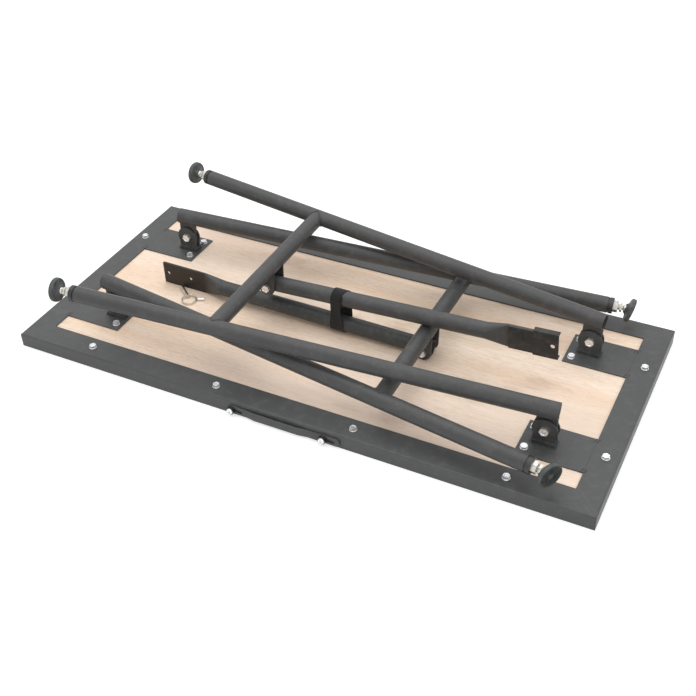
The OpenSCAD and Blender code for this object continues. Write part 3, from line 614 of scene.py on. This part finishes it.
def makePivots():
    bolts, nuts = bmesh.new(), bmesh.new()
    for end, sign in endSigns.items():
        for row, side in rowSigns.items():
            hinge = Vector((sign * leg["hingeX"] + leg["shift"], side * leg["clevisY"], leg["hingeZ"]))
            spot = placed(hinge, Vector((0, 1, 0)), Vector((1, 0, sign * side * pivotBolt["hingeLean"])))
            added(bolts, spot, addPivotBolt, leg["clevisSide"])
            added(nuts, spot, addLockNut, leg["clevisSide"])
    finishPiece("hingeBolts", bolts, zinc, "top", ("hinge_bolts",))
    finishPiece("hingeNuts", nuts, zinc, "top", ("hinge_nuts",))
    for end in endSigns:
        bm = bmesh.new()
        spot = placed(strutPoint(end, strut["y"]), Vector((0, 1, 0)), Vector(pivotBolt["turn"]))
        added(bm, spot, addPivotBolt, strut["earAt"])
        added(bm, spot, addLockNut, strut["earAt"])
        finishPiece("strutBolt" + end.title(), bm, zinc, "leg_frame_" + end,
                    ("strut_bolt_" + end,))


makePivots()
print("pivot bolts made")

# Levelling feet: jam nut, threaded stem with its hexagon and ball, and swivel pad
stem = {
    "radius": 5 * mm, "pitch": 1.5 * mm, "threadDepth": 0.75 * mm, "inside": 42 * mm, "tip": 0.8,
    "tipHeight": 1 * mm, "threadShort": 1.2 * mm, "hexFrom": 10.5 * mm, "hex": 3.7 * mm,
    "hexFlats": 13 * mm, "into": 0.2 * mm, "steps": 32,
    "neck": 3.5 * mm, "neckInto": 0.3 * mm, "ball": 6.5 * mm, "ballAt": 21 * mm, "arcSteps": 16,
    "jamFlats": 17 * mm, "jam": 7.5 * mm, "jamFrom": 0.02 * mm, "jamPlay": 0.05 * mm,
}
pad = {
    "tilt": {"right_near": 5, "right_far": 5, "left_near": 28, "left_far": 15},
    "radius": 20 * mm, "face": 11 * mm, "rim": 8.2 * mm, "shoulder": 18.5 * mm, "hub": 8 * mm,
    "hubUp": 2.5 * mm, "socket": 6.8 * mm, "socketSteps": 14, "flareSteps": 12, "steps": 72,
    "lip": ((0.5 * mm, 0), (0.1 * mm, 0.3 * mm)),  # inward and up, from the hub's edge
    "back": ((1.2 * mm, 0.5 * mm), (0.4 * mm, 1.4 * mm), (0, 2.6 * mm)),  # inward and up, from its back
    "edge": ((0, 0.7 * mm), (0.3 * mm, 0.2 * mm), (0.8 * mm, 0)),  # inward and down, from the tread's edge
    "tread": ((0.86, 0), (0.85, 0.5 * mm), (0.24, 0.5 * mm), (0.23, 0), (0.09, 0), (0.07, 0.6 * mm),
              (0, 0.6 * mm)),  # share of the radius, and down from the tread
    "ribs": 44, "ribFrom": 0.26, "ribTo": 0.83, "ribTop": 0.24, "ribFoot": 0.42, "ribHeight": 0.9 * mm,
    "ribSink": 0.2 * mm, "ribBed": 0.5 * mm, "crease": 40,
}


def addStem(bm):
    size = stem
    core, end = size["radius"] - size["threadDepth"], size["hexFrom"] + size["into"]
    low, tip = -size["inside"], size["tipHeight"] - size["inside"]
    turned(bm, ((0, low), (core * size["tip"], low), (core, tip), (core, end), (0, end)),
           size["steps"])
    thread(bm, size["radius"], size["threadDepth"], size["pitch"], tip,
           size["inside"] + size["hexFrom"] - size["threadShort"])
    hexPrism(bm, size["hexFlats"], size["hexFrom"], size["hex"])
    start, neckFrom = asin(size["neck"] / size["ball"]), size["hexFrom"] + size["hex"] - size["neckInto"]
    angles = [start + (pi - start) * step / size["arcSteps"] for step in range(size["arcSteps"] + 1)]
    arc = [(size["ball"] * sin(a), size["ballAt"] - size["ball"] * cos(a)) for a in angles]
    arc[-1] = (0, size["ballAt"] + size["ball"])
    turned(bm, [(0, neckFrom), (size["neck"], neckFrom)] + arc)


def addRibs(bm, inner, outer, rise):  # fine radial ribs of the tread
    bmesh.ops.create_cube(bm, size=1.0)
    for v in bm.verts:
        reach = outer if v.co.x > 0 else inner
        half = reach * pi / pad["ribs"] * (pad["ribTop"] if v.co.z > 0 else pad["ribFoot"])
        v.co = Vector((reach, half if v.co.y > 0 else -half,
                       rise + (pad["ribHeight"] if v.co.z > 0 else -pad["ribSink"])))
    others = pad["ribs"] - 1
    bmesh.ops.spin(bm, geom=bm.verts[:] + bm.edges[:] + bm.faces[:], cent=(0, 0, 0), axis=(0, 0, 1),
                   angle=2 * pi * others / pad["ribs"], steps=others, use_duplicate=True)


def addPad(bm):  # the ball's centre is the origin and the tread faces +Z
    size = pad
    r, face, back = size["radius"], size["face"] - size["ribHeight"], size["face"] - size["rim"]
    hub, rise, bowl = size["hub"], size["hubUp"], size["socket"]
    mouth = asin(rise / bowl)
    steps = size["socketSteps"]
    angles = [pi / 2 - (pi / 2 + mouth) * step / steps for step in range(steps + 1)]
    socket = [(bowl * cos(a), bowl * sin(a)) for a in angles]
    socket[0] = (0, bowl)
    lip = [(hub - inward, -rise + drop) for inward, drop in size["lip"]]
    angles = [pi / 2 * step / size["flareSteps"] for step in range(2, size["flareSteps"] + 1)]
    flare = [(hub + (size["shoulder"] - hub) * (1 - cos(a)), (back + rise) * sin(a) - rise) for a in angles]
    rim = [(r - inward, back + up) for inward, up in size["back"]]
    rim += [(r - inward, face - down) for inward, down in size["edge"]]
    tread = [(r * share, face - down) for share, down in size["tread"]]
    turned(bm, socket + lip + flare + rim + tread, size["steps"])
    added(bm, Matrix.Identity(4), addRibs, r * size["ribFrom"], r * size["ribTo"], face - size["ribBed"])


def makeFoot(end, row):
    start, line = tubeLine(end, row)
    name = end + "_" + row
    mouth = start + line * (leg["length"] + leg["cap"])
    spot = placed(mouth, line, Vector((0, 0, 1)))
    bm = bmesh.new()
    bore = stem["radius"] + stem["jamPlay"]
    added(bm, spot, hexNut, stem["jamFlats"], stem["jamFrom"], stem["jam"], bore)
    finishPiece("jamNut_" + name, bm, stemZinc, "nut_" + name, ("jam_nut_" + name,))
    bm = bmesh.new()
    added(bm, spot, addStem)
    finishPiece("footStem_" + name, bm, stemZinc, "stem_" + name, ("foot_stem_" + name,))
    above = legPoint(end, 0, 0, 1) - legPoint(end, 0, 0, 0)
    lean = Vector((0, -1, 0)) if name == "left_near" else -above
    lean = (lean - line * lean.dot(line)).normalized()
    tilt = radians(pad["tilt"][name])
    axis = line * cos(tilt) + lean * sin(tilt)
    bm = bmesh.new()
    added(bm, placed(mouth + line * stem["ballAt"], axis, above.cross(line)), addPad)
    finishPiece("footPad_" + name, bm, rubber, "pad_" + name, ("foot_pad_" + name,),
                crease=pad["crease"])


for end in endSigns:
    for row in rowSigns:
        makeFoot(end, row)
print("feet made")

# Handle bolts
handleBolt = {
    "x": 80.5 * mm, "z": 10 * mm, "out": 7.4 * mm, "radius": 5.2 * mm, "shank": 3 * mm, "depth": 16 * mm,
    "edge": 0.2 * mm, "rim": 0.8 * mm, "top": 3 * mm,
    "dome": ((0.93, 1.6 * mm), (0.78, 2.3 * mm), (0.6, 2.75 * mm), (0.44, 2.95 * mm)),
    "recess": 1.9 * mm, "recessRim": 1.06, "recessEdge": 0.12 * mm, "recessWall": 1.2 * mm,
    "recessMiddle": 0.8 * mm,
}


def addButton(bm):
    size = handleBolt
    shank, r, out, recess = size["shank"], size["radius"], size["out"], size["recess"]
    profile = [(0, -size["depth"]), (shank, -size["depth"]), (shank, out), (r - size["edge"], out),
               (r, out + size["edge"]), (r, out + size["rim"])]
    profile += [(r * share, out + rise) for share, rise in size["dome"]]
    crown = out + size["top"]
    profile += [(recess * size["recessRim"], crown), (recess, crown - size["recessEdge"]),
                (recess, out + size["recessWall"]), (0, out + size["recessMiddle"])]
    turned(bm, profile)


def makeHandleBolts():
    bm = bmesh.new()
    for end in bothWays:
        spot = Vector((end * handleBolt["x"], -top["halfWidth"], handleBolt["z"]))
        added(bm, placed(spot, Vector((0, -1, 0)), Vector((0, 0, 1))), addButton)
    finishPiece("handleBolts", bm, zinc, "top", ("handle_bolts",))


makeHandleBolts()

# Solids whose own shape is kept, with the edges eased
eased = {
    "flat": radians(2), "sharp": radians(28), "segments": 2, "crease": 35,
    "handle": 0.55 * mm, "channel": 0.4 * mm, "bracket": 0.45 * mm, "clevis": 0.5 * mm,
}


def softened(name, width, finish, body, reshape=None):
    bm = bmesh.new()
    bm.from_mesh(nodes[name].data)
    bmesh.ops.remove_doubles(bm, verts=bm.verts[:], dist=2 * tiny)
    if reshape:
        for v in bm.verts:
            v.co = reshape(v.co)
    bmesh.ops.dissolve_limit(bm, angle_limit=eased["flat"], verts=bm.verts[:], edges=bm.edges[:],
                             use_dissolve_boundaries=False)
    edges = [e for e in bm.edges if len(e.link_faces) == 2 and e.calc_face_angle(0) > eased["sharp"]]
    bmesh.ops.bevel(bm, geom=edges, offset=width, offset_type="OFFSET", affect="EDGES",
                    segments=eased["segments"], profile=0.5, material=-1, clamp_overlap=True)
    finishPiece("soft_" + name, bm, finish, body, (name,), crease=eased["crease"], turnOut=False)


grip = {
    "half": 54.5 * mm, "ramp": 16 * mm, "drawIn": 2.6 * mm, "mergeAt": 62 * mm, "taller": 1.27,
    "halfHeight": 7.2 * mm,
}


def settleGrip(point):  # lays the grip closer to the rim and makes it nearly as high as its tabs
    bow = unit((grip["half"] - abs(point.x)) / grip["ramp"])
    rise = point.z - handleBolt["z"]
    if abs(point.x) < grip["mergeAt"]:
        rise = max(-grip["halfHeight"], min(grip["halfHeight"], rise * grip["taller"]))
    return Vector((point.x, point.y + bow * grip["drawIn"], handleBolt["z"] + rise))


softened("carry_handle", eased["handle"], handlePlastic, "handle", settleGrip)
softened("strut_channel", eased["channel"], channelCoat, "strut_arm_right")
for end in endSigns:
    softened("strut_bracket_" + end, eased["bracket"], blackCoat, "leg_frame_" + end)
    for row in rowSigns:
        softened("clevis_" + end + "_" + row, eased["clevis"], blackCoat, "top")
print("edges eased")

# Webbing strap round both folded struts
band = {
    "x": -7 * mm, "width": 25 * mm, "thick": 1.8 * mm, "gap": 0.75 * mm, "round": 72, "cuts": 14,
    "rows": 10, "skew": -1.2 * mm, "farSkew": 0.3, "aside": 2.4 * mm, "narrow": 0.32, "waistFrom": 0.05,
    "waistOver": 0.45, "slackRate": 2.2, "drawIn": 1.1 * mm, "ripple": 0.4 * mm, "rippleRate": 260,
    "tail": 4.4 * mm, "underFrom": 9 * mm, "underGap": 0.55, "crease": 50,
}


def strutHeight(end, x):
    start = strutPoint(end, 0)
    return start.z + abs(x - start.x) * sin(strut["tilt"][end])


def runAlong(point, middle, low, high, radius):  # distance round the loop, for the weave
    across = point.y - strut["y"]
    if low <= point.z <= high:
        return high - point.z if middle.y > strut["y"] else pi * radius + point.z - low
    if point.z > high:
        return -(pi / 2 - atan2(across, point.z - high)) * radius
    return high - low + (pi / 2 - atan2(across, low - point.z)) * radius


def drapeStrap(v, low, high, radius):  # the loop sits a little skewed and draws in between the tubes
    share = (v.co.z - low) / (high - low)
    near = unit(0.5 - (v.co.y - strut["y"]) / radius / 2)
    slack = max(0.0, 1 - abs(share - 0.5) * band["slackRate"])
    waist = near * unit((share - band["waistFrom"]) / band["waistOver"])
    v.co.x = band["x"] + (v.co.x - band["x"]) * (1 - band["narrow"] * waist) - waist * band["aside"]
    v.co.x += (0.5 - share) * band["skew"] * (band["farSkew"] + (1 - band["farSkew"]) * near)
    v.co.x += (1 - near) * band["aside"]
    v.co.y += (2 * near - 1) * slack * (band["drawIn"] - band["ripple"] * sin(v.co.x * band["rippleRate"]))


def picked(geometry, kind):
    return [part for part in geometry if isinstance(part, kind)]


def makeStrap():
    low, high = strutHeight("left", band["x"]), strutHeight("right", band["x"])
    radius = leg["radius"] + band["gap"] + band["thick"] / 2
    bm = bmesh.new()
    start = Matrix.Translation((band["x"] - band["width"] / 2, strut["y"], 0))
    bmesh.ops.create_circle(bm, cap_ends=False, radius=radius, segments=band["round"],
                            matrix=start @ Matrix.Rotation(pi / 2, 4, "Y"))
    for v in bm.verts:
        v.co.z += high if v.co.z > tiny else low
    spans = [e for e in bm.edges if e.calc_length() > radius / 2]
    bmesh.ops.subdivide_edges(bm, edges=spans, cuts=band["cuts"])
    edges = bm.edges[:]
    for row in range(band["rows"]):
        grown = bmesh.ops.extrude_edge_only(bm, edges=edges)["geom"]
        bmesh.ops.translate(bm, verts=picked(grown, bmesh.types.BMVert),
                            vec=(band["width"] / band["rows"], 0, 0))
        edges = [e for e in picked(grown, bmesh.types.BMEdge)
                 if abs(e.verts[0].co.x - e.verts[1].co.x) < tiny]
    spread = bm.loops.layers.uv.new(weave["map"])
    for face in bm.faces:
        for loop in face.loops:
            along = runAlong(loop.vert.co, face.calc_center_median(), low, high, radius)
            loop[spread].uv = (along, loop.vert.co.x)
    for v in bm.verts:
        drapeStrap(v, low, high, radius)
    under = [f for f in bm.faces if f.calc_center_median().z > high - band["underFrom"]]
    inner = 1 - (band["thick"] / 2 + band["gap"] * band["underGap"]) / radius
    for v in picked(bmesh.ops.duplicate(bm, geom=under)["geom"], bmesh.types.BMVert):
        v.co = Vector((v.co.x + band["tail"], strut["y"] + (v.co.y - strut["y"]) * inner,
                       high + (v.co.z - high) * inner))
    bmesh.ops.recalc_face_normals(bm, faces=bm.faces[:])
    bmesh.ops.solidify(bm, geom=bm.faces[:], thickness=band["thick"])
    finishPiece("webbingStrap", bm, webbing, "strut_arm_right", ("webbing_strap",),
                crease=band["crease"])


makeStrap()
print("strap made")

# Weld beads
weld = {
    "tube": 1.7 * mm, "clevis": 0.7 * mm, "tack": 1.1 * mm, "step": 1.4 * mm, "round": 72, "mean": 0.82,
    "swell": 0.18, "swellRate": 1.9, "tackIn": 4 * mm, "tackSlip": 2.6 * mm, "tackSink": 0.35 * mm,
    "tackHalf": (1.6 * mm, 4.4 * mm, 0), "crease": 60, "bevelSteps": 3,
}


def beadMesh(name, points, radius, closed):
    data = bpy.data.curves.new(name, "CURVE")
    data.dimensions = "3D"
    data.bevel_depth = radius
    data.bevel_resolution = weld["bevelSteps"]
    data.use_fill_caps = True
    line = data.splines.new("POLY")
    line.points.add(len(points) - 1)
    for number, (spot, point) in enumerate(zip(line.points, points)):
        spot.co = (*point, 1)
        spot.radius = weld["mean"] + weld["swell"] * sin(number * weld["swellRate"])
    line.use_cyclic_u = closed
    holder = linked(name + "Path", data)
    bpy.context.view_layer.update()
    mesh = bpy.data.meshes.new_from_object(holder.evaluated_get(bpy.context.evaluated_depsgraph_get()))
    bpy.data.objects.remove(holder)
    return mesh


def gatherBeads(name, lines, radius, body, closed=True):
    bm = bmesh.new()
    for points in lines:
        mesh = beadMesh(name, points, radius, closed)
        bm.from_mesh(mesh)
        bpy.data.meshes.remove(mesh)
    finishPiece(name, bm, weldCoat, body, crease=weld["crease"])


def straight(start, end):
    count = max(3, int((end - start).length / weld["step"]))
    return [start.lerp(end, n / count) for n in range(count + 1)]


def jointLoop(end, row, side):  # the line round a cross tube's end where it meets a leg tube
    start, line = tubeLine(end, row)
    middle = legPoint(end, leg["crossAt"], 0, leg["offset"])
    forward = (legPoint(end, leg["crossAt"] + 1, 0, leg["offset"]) - middle).normalized()
    upward = (legPoint(end, leg["crossAt"], 0, leg["offset"] + 1) - middle).normalized()
    across = Vector((0, side, 0))
    a = across - line * across.dot(line)
    points = []
    for step in range(weld["round"]):
        angle = 2 * pi * step / weld["round"]
        spot = middle + forward * leg["radius"] * cos(angle) + upward * leg["radius"] * sin(angle)
        gap = spot - start
        b = gap - line * gap.dot(line)
        root = a.dot(b) ** 2 - a.dot(a) * (b.dot(b) - leg["radius"] ** 2)
        points.append(spot + across * ((-a.dot(b) - sqrt(max(root, 0))) / a.dot(a)))
    return points


def makeLegWelds():
    for end in endSigns:
        lines = [jointLoop(end, row, side) for row, side in rowSigns.items()]
        gatherBeads("frameWelds" + end.title(), lines, weld["tube"], "leg_frame_" + end)


def makeClevisWelds():
    lines = []
    for end in endSigns:
        for row in rowSigns:
            corners = [Vector(corner) for corner in nodes["clevis_" + end + "_" + row].bound_box]
            low, high = (Vector(pick(c[axis] for c in corners) for axis in range(3)) for pick in (min, max))
            loop = [Vector((x, y, low.z))
                    for x, y in ((low.x, low.y), (high.x, low.y), (high.x, high.y), (low.x, high.y))]
            lines.append([])
            for start, stop in zip(loop, loop[1:] + loop[:1]):
                lines[-1] += straight(start, stop)[:-1]
    gatherBeads("clevisWelds", lines, weld["clevis"], "top")


def makePlateTacks():  # short tacks across each end of the seams between hinge plates and flange
    inner, half = top["halfLength"] - top["flange"], top["plateWidth"] / 2 - weld["tackIn"]
    height, lean = top["face"] - weld["tackSink"], Vector(weld["tackHalf"])
    lines = []
    for end, row, step, slip in product(bothWays, repeat=4):
        middle = Vector((end * inner + slip * weld["tackSlip"], row * top["plateY"] + step * half, height))
        lines.append(straight(middle - lean, middle + lean))
    gatherBeads("plateTacks", lines, weld["tack"], "top", closed=False)


makeLegWelds()
makeClevisWelds()
makePlateTacks()
print("welds made")

# The view
camera = {
    "place": (0.668160, -1.251250, 1.119400), "azimuth": radians(27.921), "height": radians(38.509),
    "roll": radians(-2.321), "focal": 1068.031, "side": 696, "middle": (346.64, 347.81), "sensor": 36,
    "clip": (0.01, 50),
}


def makeCamera():
    a, e, r = camera["azimuth"], camera["height"], camera["roll"]
    back = Vector((sin(a) * cos(e), -cos(a) * cos(e), sin(e)))
    right = Vector((cos(a), sin(a), 0))
    up = back.cross(right)
    rows = (right * cos(r) + up * sin(r), up * cos(r) - right * sin(r), back)
    side, (middleX, middleY) = camera["side"], camera["middle"]
    data = bpy.data.cameras.new("viewCamera")
    data.sensor_width = camera["sensor"]
    data.lens = camera["sensor"] * camera["focal"] / side
    data.shift_x = (side / 2 - middleX) / side
    data.shift_y = (middleY - side / 2) / side
    data.clip_start, data.clip_end = camera["clip"]
    eye = linked("viewCamera", data)
    turn = Matrix(rows).transposed().to_4x4()
    turn.translation = Vector(camera["place"])
    eye.matrix_world = turn
    bpy.context.scene.camera = eye


studio = {
    "sky": 0.72, "floor": 0.62, "glow": 0.6, "floorSize": 8.0, "floorDrop": 0.6 * mm,
    "overheadPanel": {"place": (-0.35, 0.35, 2.4), "size": 3.0, "power": 36.0},
    "sidePanel": {"place": (1.8, -2.2, 1.6), "size": 1.8, "power": 10.0},
}


def makeLamp(name, place, size, power):  # a square panel that faces the origin
    data = bpy.data.lights.new(name, "AREA")
    data.shape, data.size, data.energy = "SQUARE", size, power
    lamp = linked(name, data)
    turn = Vector(place).to_track_quat("Z", "Y").to_matrix().to_4x4()
    turn.translation = Vector(place)
    lamp.matrix_world = turn


def larger(tree, first, second):
    return makeNode(tree, "ShaderNodeMath", {"operation": "MAXIMUM"}, {0: first, 1: second}).outputs[0]


def makeSky():  # white where it is seen or mirrored, dimmer where it only lights
    world = bpy.data.worlds.new("studio")
    bpy.context.scene.world = world
    world.use_nodes = True
    tree = world.node_tree
    tree.nodes.clear()
    rays = makeNode(tree, "ShaderNodeLightPath", {}, {}).outputs
    seen = larger(tree, rays["Is Camera Ray"], rays["Is Glossy Ray"])
    seen = larger(tree, seen, rays["Is Transmission Ray"])
    power = makeNode(tree, "ShaderNodeMapRange", {},
                     {"Value": seen, "To Min": studio["sky"], "To Max": 1.0})
    sky = makeNode(tree, "ShaderNodeBackground", {}, {"Color": (1, 1, 1, 1), "Strength": power.outputs[0]})
    makeNode(tree, "ShaderNodeOutputWorld", {}, {0: sky.outputs[0]})


def makeFloor():  # pale paper with a faint glow, so that it stays near white and keeps the shadow
    bm = bmesh.new()
    bmesh.ops.create_grid(bm, x_segments=1, y_segments=1, size=studio["floorSize"],
                          matrix=Matrix.Translation((0, 0, -studio["floorDrop"])))
    mesh = bpy.data.meshes.new("studioFloor")
    bm.to_mesh(mesh)
    bm.free()
    floor = linked("studioFloor", mesh)
    paper = bpy.data.materials.new("floorPaper")
    paper.use_nodes = True
    tree = paper.node_tree
    tree.nodes.clear()
    card = makeNode(tree, "ShaderNodeBsdfDiffuse", {}, {"Color": (studio["floor"],) * 3 + (1,)})
    rays = makeNode(tree, "ShaderNodeLightPath", {}, {}).outputs
    seen = larger(tree, rays["Is Camera Ray"], rays["Is Glossy Ray"])
    share = makeNode(tree, "ShaderNodeMath", {"operation": "MULTIPLY"}, {0: seen, 1: studio["glow"]})
    glow = makeNode(tree, "ShaderNodeEmission", {}, {"Strength": share.outputs[0]})
    both = makeNode(tree, "ShaderNodeAddShader", {}, {0: card.outputs[0], 1: glow.outputs[0]})
    makeNode(tree, "ShaderNodeOutputMaterial", {}, {"Surface": both.outputs[0]})
    mesh.materials.append(paper)


makeCamera()
makeSky()
for name in ("overheadPanel", "sidePanel"):
    makeLamp(name, **studio[name])
makeFloor()
bpy.context.scene.view_settings.view_transform = "Standard"
print("studio ready")
